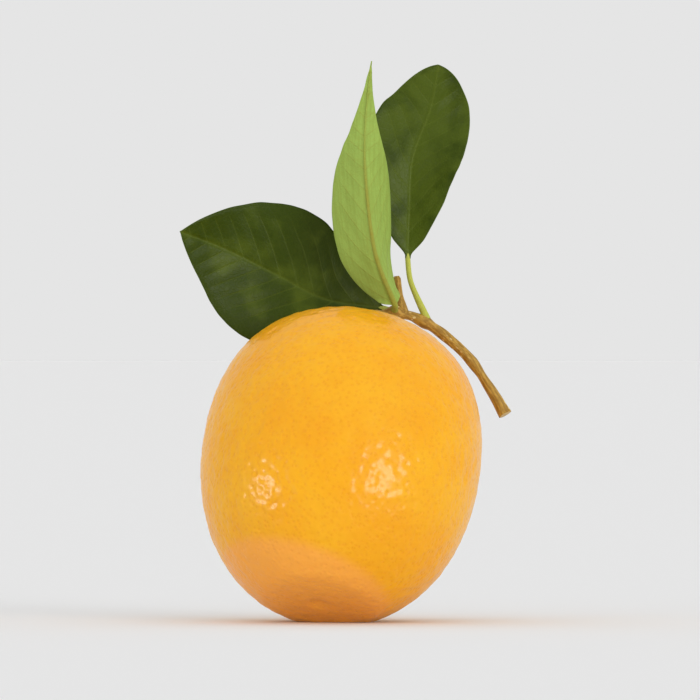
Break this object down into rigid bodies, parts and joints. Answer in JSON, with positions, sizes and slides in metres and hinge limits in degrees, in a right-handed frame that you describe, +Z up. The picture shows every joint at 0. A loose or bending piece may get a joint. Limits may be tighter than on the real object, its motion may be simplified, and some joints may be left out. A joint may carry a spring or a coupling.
{
  "type": "sweet orange",
  "caption": "Ripe sweet orange as picked, on a short woody twig with its calyx and glossy leaves, resting on a small flat spot.",
  "frame": {"origin": "point on the small flat spot that the fruit rests on, under the middle of the fruit", "axes": "+Z up, -Y the front that the picture shows, +X to the right in that view; the fruit's stem end leans back and a little to +X"},
  "size_m": [0.0852, 0.0756, 0.143],
  "materials": {
    "peel": "pebbled waxy orange peel with fine pits, satin shine",
    "calyx": "dry, matt, brownish green",
    "bark": "rough golden-brown bark with pale specks, matt",
    "leaf_dark": "smooth dark green leaf, satin shine, fine veins",
    "leaf_light": "pale yellow-green underside of a leaf, matt, brownish midrib"
  },
  "bodies": {
    "root": {"orange": "peel", "calyx": "calyx", "twig": "bark", "leaf_1": "leaf_dark", "leaf_2": "leaf_light", "leaf_3": "leaf_dark"}
  },
  "joints": []
}
